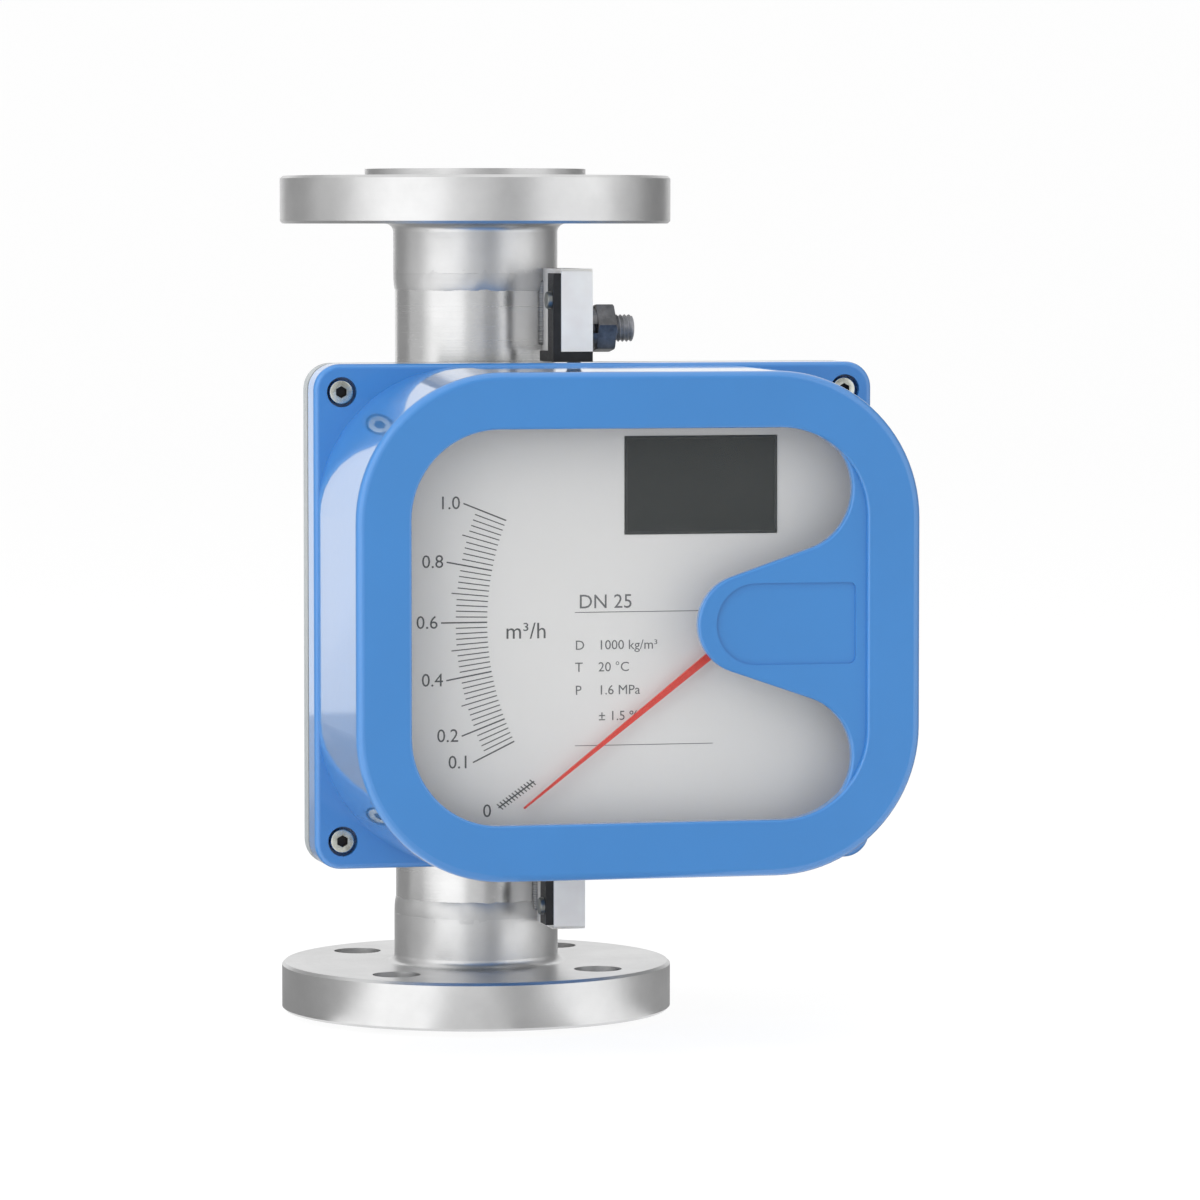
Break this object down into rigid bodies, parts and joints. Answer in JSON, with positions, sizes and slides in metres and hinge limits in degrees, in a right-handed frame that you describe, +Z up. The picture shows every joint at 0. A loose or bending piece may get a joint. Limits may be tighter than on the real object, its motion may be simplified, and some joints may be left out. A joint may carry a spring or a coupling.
{
  "type": "rotameter",
  "caption": "Upright metal-tube flow meter between two bolted flanges, with a round-cornered dial housing on a side bracket; a magnetic float lifts and turns the pointer.",
  "frame": {"origin": "centre of the inlet flange's raised face, the face that the meter stands on", "axes": "+Z up along the measuring tube towards the outlet; the dial faces -Y; +X is to the right of a reader who looks at the dial"},
  "size_m": [0.1645, 0.1675, 0.25],
  "materials": {
    "turned_steel": "turned stainless steel",
    "tube_steel": "brushed stainless steel",
    "float_steel": "polished stainless steel",
    "guide_steel": "machined stainless steel",
    "magnet": "sintered magnet",
    "base_paint": "light grey coat",
    "cover_paint": "blue gloss coat",
    "seal_rubber": "matt",
    "screw_zinc": "zinc plated",
    "window_glass": "clear",
    "spring_steel": "bright",
    "dial_silver": "satin silver",
    "display_black": "gloss",
    "display_body": "matt",
    "board_green": "solder mask",
    "brass": "turned",
    "battery_sleeve": "shrink sleeve",
    "frame_aluminium": "sheet",
    "pointer_red": "satin red",
    "lug_steel": "bright ground",
    "black_steel": "black oxide",
    "dark_fastener": "phosphated steel"
  },
  "bodies": {
    "meter": {"inlet_flange": "turned_steel", "outlet_flange": "turned_steel", "measuring_tube": "tube_steel", "lower_guide": "guide_steel", "upper_guide": "guide_steel", "lower_ring": "spring_steel", "upper_ring": "spring_steel", "housing_base": "base_paint", "housing_gasket": "seal_rubber", "housing_cover": "cover_paint", "cover_screws": "screw_zinc", "window_gasket": "seal_rubber", "window_glass": "window_glass", "glass_clips": "spring_steel", "clip_screws": "screw_zinc", "dial_plate": "dial_silver", "dial_pillars": "brass", "dial_screws": "screw_zinc", "display_glass": "display_black", "display_module": "display_body", "circuit_board": "board_green", "board_spacers": "brass", "battery": "battery_sleeve", "battery_clips": "spring_steel", "movement_frame": "frame_aluminium", "frame_posts": "brass", "frame_screws": "screw_zinc", "rear_bearing": "brass", "front_bearing": "brass", "brake_magnet": "magnet", "upper_lug": "lug_steel", "lower_lug": "lug_steel", "upper_angle": "black_steel", "lower_angle": "black_steel", "foot_screws": "black_steel", "clamp_stud": "dark_fastener", "spring_washer": "dark_fastener", "clamp_nut": "dark_fastener", "leg_screws": "screw_zinc"},
    "float": {"float_body": "float_steel", "float_cap": "float_steel", "float_magnet": "magnet", "float_rod": "float_steel"},
    "indicator": {"pointer": "pointer_red", "pointer_shaft": "float_steel", "follower_arm": "frame_aluminium", "follower_magnet": "magnet", "counterweight": "brass", "damping_disc": "frame_aluminium"}
  },
  "joints": [
    {"name": "float_lift", "type": "slide", "parent": "meter", "child": "float", "axis": [0, 0, 1], "range_m": [0, 0.05]},
    {"name": "pointer_turn", "type": "hinge", "parent": "meter", "child": "indicator", "pos_m": [0.06, -0.06, 0.1225], "axis": [0, 1, 0], "range_deg": [0, 60]}
  ],
  "couplings": [
    {"joint": "pointer_turn", "follows": "float_lift", "rad_per_m": 20.874}
  ]
}
